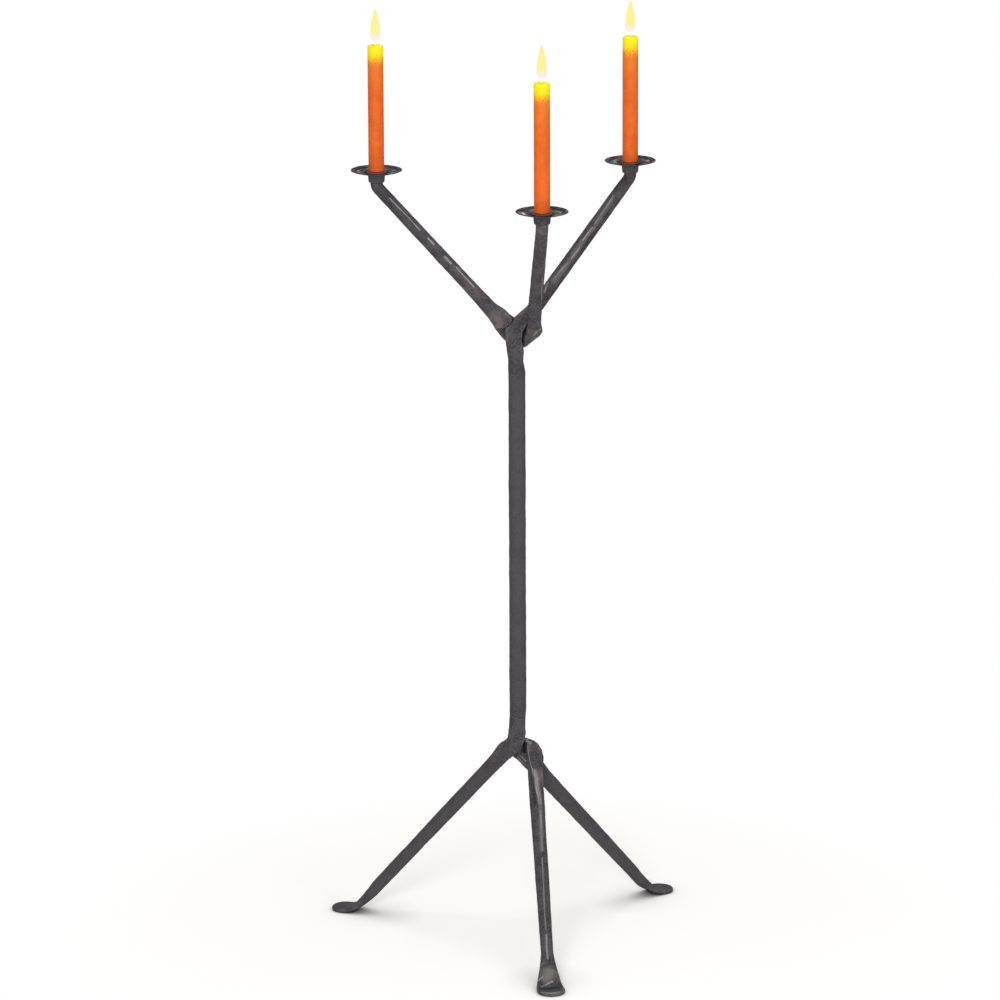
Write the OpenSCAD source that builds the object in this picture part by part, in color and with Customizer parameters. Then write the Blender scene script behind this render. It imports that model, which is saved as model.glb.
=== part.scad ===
// Three-armed torchere candle stand in hot-forged iron.
// A round post carries three arms and three legs, one of each in every third of the plan.
// Each member ends in a thin leaf; the leaves lap the flat tongue at the end of the post
// and one countersunk rivet closes each stack. Flat faces of the leaves stand across Y.
// All sizes are in millimetres, +Z is up, the feet rest on Z = 0.

/* [Post] */
// Diameter of the round post
post_d = 23.5; // [21:0.5:26]
// Height of the upper rivet, where the arms join
upper_rivet_z = 868; // [700:1:950]
// Height of the lower rivet, where the legs join
lower_rivet_z = 278; // [250:1:330]
// Thickness of the flat tongue at each end of the post
tongue_t = 7; // [5:0.5:8]
// Width of the tongues and leaves
leaf_w = 24; // [23:0.5:26]

/* [Arms] */
// Distance from the post axis to each candle axis
arm_reach = 207; // [170:1:260]
// Rise from the upper rivet to the corner of each arm
arm_rise = 198.5; // [160:0.5:240]
// Diameter of each arm under its cup
arm_tip_d = 17; // [14:0.5:19]
// Diameter of each arm near the post
arm_root_d = 19.4; // [18:0.2:21]
// Length of the upright stub under each cup
arm_stub = 6; // [5:0.5:12]
// Bend radius of the arm corner
arm_bend_r = 10; // [9.5:0.5:20]

/* [Legs] */
// Distance from the post axis to the middle of each foot
foot_reach = 266; // [220:1:330]
// Diameter of each leg near the post
leg_root_d = 22; // [20:0.5:23]
// Diameter of each leg above its foot
leg_tip_d = 17; // [14:0.5:19]
// Length of each leg's underside that curves down into its foot
ankle_len = 46; // [30:1:60]
// Length of floor from the foot's middle back to the line of that underside
ankle_in = 25; // [20:0.5:30]
// Diameter of the round foot pads
pad_d = 38.4; // [32:0.2:46]
// Thickness of the foot pads
pad_t = 5.8; // [4:0.2:8]

/* [Leaves and rivets] */
// Thickness of the leaf in front of each tongue
front_leaf_t = 6.5; // [5:0.5:8]
// Thickness of the leaf behind each tongue
mid_leaf_t = 6; // [5:0.5:7]
// Thickness of the rearmost leaf
back_leaf_t = 5.5; // [4.5:0.5:7]
// Distance from each rivet to the start of the scarf cut in the post
scarf_start = 16; // [14:0.5:18]
// Length of the scarf cut
scarf_len = 12; // [8:0.5:16]
// Shank diameter of the rivets
rivet_d = 8; // [6:0.5:9]
// Depth of the rivet countersinks
sink_depth = 3; // [2:0.25:3.5]

/* [Candle cups and drip pans] */
// Outside diameter of the cup body at its foot
cup_foot_d = 22.4; // [20:0.2:23]
// Height of the whole cup
cup_h = 15.2; // [13:0.1:30]
// Floor of the cup
cup_floor = 3.4; // [3:0.1:6]
// Wall of the cup body
cup_wall = 1; // [0.8:0.1:1.2]
// How far the cup rim stands out past the body
rim_lip = 0.9; // [0.6:0.1:3]
// Height of the cup rim above the pan floor
rim_h = 2; // [1.5:0.1:5]
// Diameter of each drip pan
pan_d = 71.6; // [60:0.2:90]
// Diameter of the flat floor of each pan
pan_floor_d = 30; // [28:1:52]
// Height from the pan floor to its rim
pan_rise = 4.8; // [3:0.1:10]
// Sheet thickness of the pans
sheet_t = 1; // [0.8:0.1:2]

/* [Candles] */
// Diameter of the candles
candle_d = 22; // [20:0.1:22]
// Length of the candles
candle_len = 190; // [120:1:260]
// Diameter of the wicks
wick_d = 1.6; // [1.2:0.1:2.4]
// Length of wick above the wax
wick_out = 8; // [4:0.5:14]

/* [Fits] */
// Clearance of a candle butt in its socket
candle_gap = 0.3; // [0.25:0.05:0.4]
// Radial clearance of a rivet, screw, cup or wick in its hole
hole_gap = 0.05; // [0.02:0.01:0.1]
// Gap along the scarf at the end of each front leaf
lap_gap = 0.2; // [0.1:0.05:0.3]
// Diameter of the cup screws
screw_d = 5; // [4:0.5:6]
// Length of the cup screws below the cup
screw_len = 14; // [8:1:18]

/* [Hidden] */

// Plan directions of the three arms and legs
az_left = 150;
az_front = -90;
az_right = 30;

// The origin is the middle of the floor box, so the post stands behind it
front_edge = foot_reach + pad_d / 2;
back_edge = foot_reach * sin(az_right) + pad_d / 2;
post_y = (front_edge - back_edge) / 2;

// Faces of the stack across Y, from front to back
tongue_front = -tongue_t * 6 / 7;
tongue_back = tongue_front + tongue_t;
front_face = tongue_front - front_leaf_t;
mid_back = tongue_back + mid_leaf_t;
back_face = mid_back + back_leaf_t;

// Height of each member's axis at the post, from the rivet
arm_left_dz = 0;
arm_front_dz = 0;
arm_right_dz = 4.6;
leg_left_dz = 8.8;
leg_front_dz = -3;
leg_right_dz = -7.1;

// The front members pass this far to the right of the post axis
front_side = 22;
rivet_x = -6;

// Cup, pan and candle heights
corner_z = upper_rivet_z + arm_rise;
cup_z = corner_z + arm_stub;
socket_z = cup_z + cup_floor;
rim_z = cup_z + cup_h;
pan_z = rim_z - rim_h;
cup_neck = cup_h - rim_h;

// The socket is the candle's size and tapers beside the cup's wall
socket_top_r = candle_d / 2 + candle_gap;
cup_d = 2 * (socket_top_r + cup_wall);
rim_d = cup_d + 2 * rim_lip;
socket_floor_r = cup_foot_d / 2 + (cup_d - cup_foot_d) / 2 * cup_floor / cup_neck - cup_wall;

// Thickness left at the tip of a scarf, and a length that reaches past every joint
scarf_tip = 2;
far = 48;

// Widths of the leaves and tongues are drawn for a leaf of 24 mm
spread = leaf_w / 24;

pin_hole_d = rivet_d + 2 * hole_gap;
screw_hole_d = screw_d + 2 * hole_gap;

arc_steps = 8;
iron = "#4a484b";
sheet = "#403f42";
steel = "#6b6a6c";
wax = "#ec6a2a";
cotton = "#d8c9a4";
X = [1, 0, 0];
Y = [0, 1, 0];

$fn = 64;

// ---- lofted bars ----

// Point at radius r and height z in the plan direction az, moved sideways by side
function polar(az, r, z, side = 0) =
    [r * cos(az) - side * sin(az), r * sin(az) + side * cos(az), z];

function unit(v) = v / norm(v);

function mix(a, b, q) = a * (1 - q) + b * q;

// Rounded rectangle about p: half sizes h[0] along u, h[1] along v, corner radius h[2]
function section(p, u, v, h) =
    let (c = h[2] / cos(45 / arc_steps))
    [for (q = [0:3], k = [0:arc_steps - 1])
        let (
            angle = 90 * q + 90 / arc_steps * (k + 0.5),
            su = (q == 0 || q == 3) ? 1 : -1,
            sv = (q < 2) ? 1 : -1
        )
        p + u * (su * (h[0] - h[2]) + c * cos(angle)) + v * (sv * (h[1] - h[2]) + c * sin(angle))];

// Section square to the direction t, with its first axis as near ref as it can be
function across(p, t, ref, h) =
    let (u = unit(ref - (ref * t) * t))
    section(p, u, cross(t, u), h);

// Direction of the path at station i
function heading(s, i) =
    unit(s[min(i + 1, len(s) - 1)][0] - s[max(i - 1, 0)][0]);

// Sections of a bar through stations [point, [half sizes, corner]]
function bar(s, ref) = [for (i = [0:len(s) - 1]) across(s[i][0], heading(s, i), ref, s[i][1])];

// Half sizes of a round section of diameter d
function round_bar(d) = [d / 2, d / 2, d / 2];

// Flat section of a side member: middle [x, z], width w tilted down to the right, y0 to y1 deep
function leaf(x, z, w, tilt, y0, y1, c) =
    section([x, (y0 + y1) / 2, z], Y, [cos(tilt), 0, -sin(tilt)],
        [(y1 - y0) / 2, w / 2 * spread, c]);

// The same for a front member, whose first axis runs across
function front_leaf(x, z, w, tilt, y0, y1, c) =
    section([x, (y0 + y1) / 2, z], [cos(tilt), 0, -sin(tilt)], -Y,
        [w / 2 * spread, (y1 - y0) / 2, c]);

// Solid through a list of sections
module forged(sections) {
    sides = 4 * arc_steps;
    last = len(sections) - 1;
    walls = [for (i = [0:last - 1], k = [0:sides - 1])
        let (a = i * sides + k, b = i * sides + (k + 1) % sides)
        each [[a, a + sides, b], [b, a + sides, b + sides]]];
    polyhedron([for (s = sections) each s], concat(
        [[for (k = [0:sides - 1]) k]],
        walls,
        [[for (k = [sides - 1:-1:0]) last * sides + k]]), convexity = 8);
}

module place() {
    translate([0, post_y, 0]) children();
}

// ---- rivet holes and lap cuts ----

module along_y(x, y, z) {
    translate([x, y, z]) rotate([-90, 0, 0]) children();
}

module rivet_hole(z) {
    along_y(rivet_x, -2 * post_d, z) cylinder(d = pin_hole_d, h = 4 * post_d);
}

// Countersinks at the front or back face of a stack
module front_sink(z) {
    along_y(rivet_x, front_face, z)
        cylinder(d1 = pin_hole_d + 2 * sink_depth, d2 = pin_hole_d, h = sink_depth);
}

module back_sink(z) {
    along_y(rivet_x, back_face - sink_depth, z)
        cylinder(d1 = pin_hole_d, d2 = pin_hole_d + 2 * sink_depth, h = sink_depth);
}

// Height and depth of the two ends of a scarf cut, from the rivet and the post axis
function scarf(y, out, gap = 0) = [
    [y, gap - scarf_start],
    [out * (post_d / 2 - scarf_tip), gap - scarf_start - scarf_len]];

// Outline in the YZ plane, pushed along X across the post; way is 1 at the upper rivet
module across_post(z, way, outline) {
    translate([-far, 0, z]) rotate([90, 0, 90]) linear_extrude(2 * far)
        polygon([for (q = outline) [q[0], way * q[1]]]);
}

// Space of the leaves on the side out of a tongue whose face is at y
module lap_space(z, way, y, out) {
    cut = scarf(y, out);
    across_post(z, way, [[y, far], cut[0], cut[1], [out * far, cut[1][1]], [out * far, far]]);
}

// What a front leaf leaves to the post along its scarf
module scarf_waste(z, way) {
    cut = scarf(tongue_front, -1, lap_gap);
    across_post(z, way, [[far, cut[0][1]], cut[0], cut[1], [-far, cut[1][1]], [-far, -far], [far, -far]]);
}

// ---- post ----

// Sections of one end of the post: [distance from the rivet, middle x, width, half depth, corner]
function post_end(z, way, stations) = [
    for (s = stations)
        section([s[1], 0, z - way * s[0]], X, Y, [s[2] / 2 * spread, s[3], s[4]])
];

module post() {
    half = post_d / 2;
    bar_w = post_d / spread;
    color(iron) place() difference() {
        forged(concat(
            post_end(lower_rivet_z, -1, [
                [-17, -4.5, 8, half, 3], [-13, -5.2, 14.5, half, 3], [-8, -6, 19.5, half, 3],
                [0, -5.4, 22.5, half, 3], [10, -2.9, 24.6, half, 5], [17, -2, 23.8, half, 7],
                [25, -1.4, 22.8, half, 9], [40, -0.5, 22.8, half - 0.2, 11], [52, 0, bar_w, half, half]]),
            post_end(upper_rivet_z, 1, [
                [50, 0, bar_w, half, half], [42, -0.8, 22.4, half - 0.5, half - 0.6],
                [35, -1.6, 20.4, half - 1.4, 10], [29, -1.7, 20.8, half - 1.2, 9],
                [21.5, -2.3, 22.2, half - 0.2, 7], [16, -2.8, 22.6, half, 5], [4.5, -5, 21, half, 3],
                [0, -5.5, 20.8, half, 3], [-8, -5, 21.6, half, 3], [-13, -3.5, 19, half, 3],
                [-17, -2.5, 12, half, 3]])));
        lap_space(upper_rivet_z, 1, tongue_front, -1);
        lap_space(upper_rivet_z, 1, tongue_back, 1);
        lap_space(lower_rivet_z, -1, tongue_front, -1);
        lap_space(lower_rivet_z, -1, tongue_back, 1);
        rivet_hole(upper_rivet_z);
        rivet_hole(lower_rivet_z);
    }
}

// ---- arms ----

// Upper part of an arm: upright stub, bend and straight run down to radius r_end.
// side is how far the arm's axis passes beside the post axis.
function arm_run(az, side, root_dz, r_end) =
    let (
        slope = atan((arm_rise - root_dz) / arm_reach),
        turn = 90 - slope,
        tangent = arm_bend_r * tan(turn / 2),
        off = function(r) side * (1 - r / arm_reach),
        dia = function(r) mix(arm_root_d, arm_tip_d, r / arm_reach)
    )
    concat(
        [[polar(az, arm_reach, cup_z), round_bar(arm_tip_d)]],
        [for (i = [0:5])
            let (
                a = turn * i / 5,
                r = arm_reach - arm_bend_r * (1 - cos(a)),
                z = corner_z + tangent - arm_bend_r * sin(a)
            )
            [polar(az, r, z, off(r)), round_bar(arm_tip_d)]],
        [for (i = [0:4])
            let (r = mix(arm_reach - 2 * arm_bend_r, r_end, i / 4))
            [polar(az, r, corner_z - (arm_reach - r) * tan(slope), off(r)), round_bar(dia(r))]]
    );

module tapped_hole(az) {
    translate(polar(az, arm_reach, cup_z - screw_len)) cylinder(d = screw_hole_d, h = 2 * screw_len);
}

// The left arm ends in a rounded shoulder; its leaf runs on behind the others
module arm_left() {
    z = upper_rivet_z;
    color(iron) place() difference() {
        union() {
            forged(concat(bar(arm_run(az_left, 0, arm_left_dz, 56), Y), [
                leaf(-34.5, z + 38, 20.4, -44, 4, 27, 8.5),
                leaf(-29, z + 32.8, 22.8, -52, -5, 21.5, 6),
                leaf(-24, z + 27.8, 26.4, -50, -11, 16, 3.6),
                leaf(-19.8, z + 24.2, 26.4, -38, -13.2, 13, 2.2),
                leaf(-17.2, z + 21.2, 20.8, -31, -13.2, 12.3, 1.6),
                leaf(-15.4, z + 18.8, 10, -29, -12.6, 12, 1.2)]));
            forged([
                leaf(-30, z + 33, 20.8, -55, mid_back, back_face, 1.5),
                leaf(-20.8, z + 22.2, 29.2, -60, mid_back, back_face, 1.5),
                leaf(-11.6, z + 13.3, 31.7, -51, mid_back, back_face, 1.5),
                leaf(-4.5, z + 5.8, 32.2, -49, mid_back, back_face, 1.5),
                leaf(0, z - 1, 27.6, -46.5, mid_back, back_face, 1.5),
                leaf(2.3, z - 5.8, 17.7, -45, mid_back, back_face, 1.5),
                leaf(3, z - 7.4, 8, -43, mid_back, back_face, 1.5)]);
        }
        rivet_hole(z);
        back_sink(z);
        tapped_hole(az_left);
    }
}

// The right arm swings to the front and its leaf fills the front of the lap, flush with the post
module arm_right() {
    z = upper_rivet_z;
    shoulder_r = 22;
    color(iron) place() difference() {
        forged(concat(bar(arm_run(az_right, 0, arm_right_dz, 62), Y), [
            leaf(42.5, z + 51.6, 18.6, 43, 11.8, 31, 9.2),
            leaf(31.3, z + 43, 19.8, 45, 0.5, 18, 8.4),
            leaf(19.8, z + 35.7, 18.8, 48, -9.5, 5.5, 6),
            leaf(9.8, z + 30.8, 17, 47, front_face, -3.5, 3.4),
            leaf(2.4, z + 23.1, 21.5, 29, front_face, tongue_front, 2),
            leaf(-5.5, z + 12.8, 24.4, 15, front_face, tongue_front, 2),
            leaf(-6, z - 1.8, 22.4, 9, front_face, tongue_front, 2),
            leaf(-4.6, z - 12, 22.6, 2.5, front_face, tongue_front, 2.5),
            leaf(-2.8, z - 20, 22.6, 1, -11.8, tongue_front, 2.8),
            leaf(-1.7, z - 29, 20.8, 0, -10.8, tongue_front, 2.4)]));
        scarf_waste(z, 1);
        // notch round the left arm's shoulder
        along_y(-25.8, front_face - 1, z + 36.6) cylinder(r = shoulder_r, h = front_leaf_t + 4);
        rivet_hole(z);
        front_sink(z);
        tapped_hole(az_right);
    }
}

// The front arm passes the right side of the post and hooks behind the tongue
module arm_front() {
    z = upper_rivet_z;
    color(iron) place() difference() {
        union() {
            forged(concat(bar(concat(arm_run(az_front, front_side, arm_front_dz, 60), [
                [[17.8, -40, z + 36.5], round_bar(19.4)],
                [[20.3, -26, z + 23.5], [9.4, 9.2, 9]]]), X), [
                front_leaf(23.7, z + 16, 20.4, 11, -19.5, -3, 7.4),
                front_leaf(24.2, z + 10.8, 23.2, 16, -10.5, 3.6, 5),
                front_leaf(21.8, z + 5.7, 23.2, 27, -4, 6.4, 3),
                front_leaf(14.3, z + 3.4, 28.2, 43, tongue_back, mid_back, 2),
                front_leaf(4, z - 2.2, 32.2, 52, tongue_back, mid_back, 2),
                front_leaf(-3.3, z - 6.5, 28, 49, tongue_back, mid_back, 2),
                front_leaf(-8.3, z - 9, 16.6, 46, tongue_back, mid_back, 2),
                front_leaf(-10.3, z - 9.8, 8, 45, tongue_back, mid_back, 2)]));
            forged([
                front_leaf(15.5, z + 24.5, 7, 10, tongue_back, mid_back, 2),
                front_leaf(15.2, z + 20, 15, 15, tongue_back, mid_back, 2),
                front_leaf(15, z + 13, 20, 25, tongue_back, mid_back, 2),
                front_leaf(14.3, z + 3.4, 28.2, 43, tongue_back, mid_back, 2)]);
        }
        // seat against the side and back of the tongue
        translate([-post_d, -post_d, z - post_d]) cube([post_d + 9, post_d + tongue_back, post_d + 17]);
        rivet_hole(z);
        tapped_hole(az_front);
    }
}

// ---- legs ----

// Slope at which a leg of tip diameter leg_tip_d meets both root_z and the floor
function leg_slope(root_z, a = 45, n = 8) =
    n == 0 ? a : leg_slope(root_z,
        atan((root_z - leg_tip_d / 2 / cos(a)) / (foot_reach - ankle_in)), n - 1);

// Lower part of a leg, from radius r_start down to the middle of its foot. The underside curves
// to the floor, the top runs on nearly straight, so the bar thins until it is the pad's thickness,
// and widens to the pad's width. fat is the extra thickness near the post.
function leg_run(az, side, root_z, r_start, fat, ref, foot_ref) =
    let (
        slope = leg_slope(root_z),
        corner = [foot_reach - ankle_in, 0],
        bend = corner + ankle_len * [-cos(slope), sin(slope)],
        z_last = bend[1] + leg_tip_d / 2 * cos(slope),
        r_last = bend[0] + leg_tip_d / 2 * sin(slope),
        off = function(r) side * max(0, 1 - r / (foot_reach - pad_d / 3)),
        dia = function(r) mix(leg_root_d + fat, leg_tip_d + fat / 2, r / r_last)
    )
    concat(
        [for (i = [0:4])
            let (r = mix(r_start, r_last, i / 5), d = dia(r), t = polar(az, cos(slope), -sin(slope)))
            across(polar(az, r, z_last + (r_last - r) * tan(slope), off(r)), t,
                mix(ref, foot_ref, i / 5), round_bar(d))],
        [for (i = [0:8])
            let (
                q = i / 8,
                under = mix(mix(bend, corner, q), mix(corner, [foot_reach, 0], q), q),
                t = mix(corner - bend, [ankle_in, 0], q),
                a = atan2(-t[1], t[0]),
                top = leg_tip_d * mix(1, 0.7, sqrt(q)) - (under - corner) * [sin(slope), cos(slope)],
                thick = max(pad_t, top / cos(slope - a)),
                wide = mix(leg_tip_d, pad_d - 0.4, sin(90 * pow(q, 1.15))),
                middle = under + thick / 2 * [sin(a), cos(a)]
            )
            across(polar(az, middle[0], middle[1], off(middle[0])), polar(az, cos(a), -sin(a)), foot_ref,
                [wide / 2, thick / 2, thick / 2 - 0.1])]
    );

module foot_pad(az) {
    edge = pad_t / 2;
    translate(polar(az, foot_reach, 0)) rotate_extrude() {
        square([pad_d / 2 - edge, pad_t]);
        translate([pad_d / 2 - edge, edge]) circle(r = edge);
    }
}

// The left leg's leaf fills the front of the lap
module leg_left() {
    z = lower_rivet_z;
    color(iron) place() difference() {
        union() {
            forged(concat([
                leaf(-1.4, z + 29, 22.8, 0, -10.8, tongue_front, 2.4),
                leaf(-2.2, z + 20, 23.8, 1, -11.8, tongue_front, 2.8),
                leaf(-4, z + 11, 25, 5, front_face, tongue_front, 2.5),
                leaf(-8.6, z + 3.6, 27.1, 17, front_face, tongue_front, 2),
                leaf(-11.2, z, 31, 21, front_face, tongue_front, 2),
                leaf(-16.2, z - 4.2, 29.2, 27, front_face, tongue_front, 2.5),
                leaf(-25.3, z - 14.5, 24, 27, -11, 0, 4),
                leaf(-31.3, z - 26.3, 22, 37, -3.5, 13.5, 8)],
                leg_run(az_left, 0, z + leg_left_dz, 46, 0, Y, -polar(az_left, 0, 0, 1))));
            foot_pad(az_left);
        }
        scarf_waste(z, -1);
        // seat against the front of the tongue
        translate([-17, tongue_front, z - 16]) cube([2 * post_d, 2 * post_d, 2 * post_d]);
        rivet_hole(z);
        front_sink(z);
    }
}

// The right leg's leaf is the rearmost of the stack
module leg_right() {
    z = lower_rivet_z;
    color(iron) place() difference() {
        union() {
            forged(concat([
                leaf(-11.5, z + 7.3, 9.5, -43, mid_back, back_face, 1.5),
                leaf(-8.5, z + 4, 20.5, -43, mid_back, back_face, 1.5),
                leaf(-3.3, z - 4, 27.3, -41, mid_back, back_face, 1.5),
                leaf(3.7, z - 11, 28.8, -44, mid_back, back_face, 1.5),
                leaf(11.3, z - 19, 27.2, -47, mid_back, 15, 3),
                leaf(17.8, z - 27.3, 26.2, -48, mid_back, 19.5, 5),
                leaf(26.3, z - 37.5, 25.2, -44, mid_back, 24.5, 8)],
                leg_run(az_right, 0, z + leg_right_dz, 47, 1, Y, polar(az_right, 0, 0, 1))));
            foot_pad(az_right);
        }
        rivet_hole(z);
        back_sink(z);
    }
}

// The front leg's bar rises into a round leaf that hooks behind the tongue
module leg_front() {
    z = lower_rivet_z;
    color(iron) place() difference() {
        union() {
            forged([
                front_leaf(-13.5, z - 0.5, 7, -82, tongue_back, mid_back, 2),
                front_leaf(-8, z - 1, 20, -84, tongue_back, mid_back, 2),
                front_leaf(0, z - 5.8, 31, -79, tongue_back, mid_back, 2),
                front_leaf(6.5, z - 10.3, 34.7, -75, tongue_back, mid_back, 2),
                front_leaf(13, z - 14, 36.8, -68, tongue_back, mid_back, 2),
                front_leaf(19, z - 19, 37.2, -59, tongue_back, mid_back, 2),
                front_leaf(23.5, z - 25, 34.8, -51, tongue_back, mid_back, 2),
                front_leaf(26, z - 32, 29.7, -42, tongue_back, mid_back, 2),
                front_leaf(27.3, z - 38, 22, -31, tongue_back, mid_back, 2),
                front_leaf(27.3, z - 41.5, 14, -22, tongue_back, mid_back, 2)]);
            forged(concat(bar([
                [[17.5, 0.5, z + 1.5], [5, 3, 2]],
                [[19.6, -4, z - 4], [8.6, 6.4, 4]],
                [[21.2, -9, z - 11], [10.6, 8.6, 6]],
                [[20.8, -16.5, z - 19.5], [11, 10, 9]],
                [[20, -28, z - 32.5], round_bar(leg_root_d - 0.4)]], X),
                leg_run(az_front, front_side, z + leg_front_dz, 42, 0, X, X)));
            foot_pad(az_front);
        }
        // seat against the side and back of the tongue
        translate([-post_d, -post_d, z - post_d]) cube([post_d + 10, post_d + tongue_back, 2 * post_d]);
        rivet_hole(z);
    }
}

// ---- rivets ----

module rivet(z) {
    shank = back_face - front_face - 2 * sink_depth;
    color(steel) place() along_y(rivet_x, front_face, z) union() {
        cylinder(d1 = rivet_d + 2 * sink_depth, d2 = rivet_d, h = sink_depth);
        translate([0, 0, sink_depth]) cylinder(d = rivet_d, h = shank);
        translate([0, 0, sink_depth + shank])
            cylinder(d1 = rivet_d, d2 = rivet_d + 2 * sink_depth, h = sink_depth);
    }
}

module arm_rivet() { rivet(upper_rivet_z); }
module leg_rivet() { rivet(lower_rivet_z); }

// ---- cups, pans, screws and candles ----

module at_cup(az) {
    place() translate(polar(az, arm_reach, 0)) children();
}

module candle_cup(az) {
    color(iron) at_cup(az) translate([0, 0, cup_z]) difference() {
        rotate_extrude() polygon([
            [0, 0], [cup_foot_d / 2 - 2, 0], [cup_foot_d / 2 - 0.6, 0.6], [cup_foot_d / 2, 2],
            [cup_d / 2, cup_neck],
            [rim_d / 2, cup_neck], [rim_d / 2, cup_h - 0.5], [rim_d / 2 - 0.5, cup_h], [0, cup_h]]);
        translate([0, 0, cup_floor])
            cylinder(r1 = socket_floor_r, r2 = socket_top_r, h = cup_neck - cup_floor);
        translate([0, 0, cup_neck]) cylinder(r = socket_top_r, h = cup_h);
        translate([0, 0, -1]) cylinder(d = screw_hole_d, h = cup_h);
        translate([0, 0, cup_floor - screw_d / 2])
            cylinder(d1 = screw_hole_d, d2 = screw_hole_d + screw_d, h = screw_d / 2);
    }
}

// Shallow dish whose floor is a press fit round the cup, under the cup's rim
module drip_pan(az) {
    floor_r = pan_floor_d / 2;
    function dish(q, z) = [mix(floor_r, pan_d / 2, q), pan_rise * pow(q, 1.3) + z];
    color(sheet) at_cup(az) translate([0, 0, pan_z]) rotate_extrude() polygon(concat(
        [[cup_d / 2 + hole_gap, -sheet_t], [cup_d / 2 + hole_gap, 0]],
        [for (i = [0:8]) dish(i / 8, 0)],
        [for (i = [8:-1:0]) dish(i / 8, -sheet_t)]));
}

module cup_screw(az) {
    color(steel) at_cup(az) translate([0, 0, socket_z]) union() {
        translate([0, 0, -screw_d / 2]) cylinder(d1 = screw_d, d2 = 2 * screw_d, h = screw_d / 2);
        translate([0, 0, -cup_floor - screw_len + 1])
            cylinder(d = screw_d, h = screw_len + cup_floor - 1 - screw_d / 2);
    }
}

// The butt of the candle is cut to the socket's taper
module candle(az) {
    butt_h = cup_neck - cup_floor;
    color(wax) at_cup(az) translate([0, 0, socket_z]) difference() {
        union() {
            cylinder(r1 = socket_floor_r - candle_gap, r2 = socket_top_r - candle_gap, h = butt_h);
            translate([0, 0, butt_h]) cylinder(d = candle_d, h = candle_len - butt_h);
        }
        translate([0, 0, 2]) cylinder(d = wick_d + 2 * hole_gap, h = candle_len);
    }
}

module wick(az) {
    color(cotton) at_cup(az) translate([0, 0, socket_z + 2])
        cylinder(d = wick_d, h = candle_len - 2 + wick_out);
}

module drip_pan_left() { drip_pan(az_left); }
module drip_pan_front() { drip_pan(az_front); }
module drip_pan_right() { drip_pan(az_right); }
module candle_cup_left() { candle_cup(az_left); }
module candle_cup_front() { candle_cup(az_front); }
module candle_cup_right() { candle_cup(az_right); }
module cup_screw_left() { cup_screw(az_left); }
module cup_screw_front() { cup_screw(az_front); }
module cup_screw_right() { cup_screw(az_right); }
module candle_left() { candle(az_left); }
module candle_front() { candle(az_front); }
module candle_right() { candle(az_right); }
module wick_left() { wick(az_left); }
module wick_front() { wick(az_front); }
module wick_right() { wick(az_right); }

post();
arm_left();
arm_front();
arm_right();
leg_left();
leg_front();
leg_right();
arm_rivet();
leg_rivet();
drip_pan_left();
drip_pan_front();
drip_pan_right();
candle_cup_left();
candle_cup_front();
candle_cup_right();
cup_screw_left();
cup_screw_front();
cup_screw_right();
candle_left();
candle_front();
candle_right();
wick_left();
wick_front();
wick_right();
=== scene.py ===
import bpy
import bmesh
import math
import numpy as np
from mathutils import Matrix, Vector, noise


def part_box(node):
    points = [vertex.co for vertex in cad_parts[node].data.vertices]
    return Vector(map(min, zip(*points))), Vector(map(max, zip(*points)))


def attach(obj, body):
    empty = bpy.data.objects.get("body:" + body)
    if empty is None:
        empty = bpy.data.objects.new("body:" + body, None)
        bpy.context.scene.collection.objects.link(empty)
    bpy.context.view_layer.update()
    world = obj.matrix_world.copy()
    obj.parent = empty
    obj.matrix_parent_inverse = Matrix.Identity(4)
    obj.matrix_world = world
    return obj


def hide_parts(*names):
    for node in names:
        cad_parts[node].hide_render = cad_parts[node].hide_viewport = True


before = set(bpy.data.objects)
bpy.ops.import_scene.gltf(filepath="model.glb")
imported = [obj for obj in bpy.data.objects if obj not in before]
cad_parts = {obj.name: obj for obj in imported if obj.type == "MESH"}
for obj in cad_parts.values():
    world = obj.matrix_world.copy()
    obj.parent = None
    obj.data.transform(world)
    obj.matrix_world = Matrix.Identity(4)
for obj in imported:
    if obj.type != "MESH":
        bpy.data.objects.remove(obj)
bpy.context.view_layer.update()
mm = 0.001
sides = ("left", "front", "right")
postY = 66.5                 # mm, where the axis of the post stands
postAxis = Vector((0.0, postY * mm, 0.0))
print("frame loaded:", len(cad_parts), "nodes")


# the camera, fitted to the feet, the cups and the bars
cameraSetup = {
    "azimuth": 9.438,        # degrees, looking from the left of the front
    "elevation": 15.03,      # degrees above the horizon
    "roll": -0.235,
    "distance": 8.1976,      # metres from the target
    "target": (-0.0238, 0.0705, 0.6341),
    "lens": 211.3,           # mm
    "sensor": 36.0,          # mm
    "clip": (0.1, 60.0),     # metres
}


def makeCamera(setup):
    azimuth, elevation, roll = (math.radians(setup[k]) for k in ("azimuth", "elevation", "roll"))
    forward = Vector((math.sin(azimuth) * math.cos(elevation),
                      math.cos(azimuth) * math.cos(elevation), -math.sin(elevation)))
    level = Vector((math.cos(azimuth), -math.sin(azimuth), 0))
    upright = level.cross(forward)
    right = level * math.cos(roll) + upright * math.sin(roll)
    up = upright * math.cos(roll) - level * math.sin(roll)
    data = bpy.data.cameras.new("studioCamera")
    data.lens, data.sensor_width = setup["lens"], setup["sensor"]
    data.clip_start, data.clip_end = setup["clip"]
    camera = bpy.data.objects.new("studioCamera", data)
    bpy.context.collection.objects.link(camera)
    place = Matrix((right, up, -forward)).transposed().to_4x4()
    place.translation = Vector(setup["target"]) - forward * setup["distance"]
    camera.matrix_world = place
    bpy.context.scene.camera = camera


makeCamera(cameraSetup)
bpy.context.scene.view_settings.view_transform = "Standard"


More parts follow.
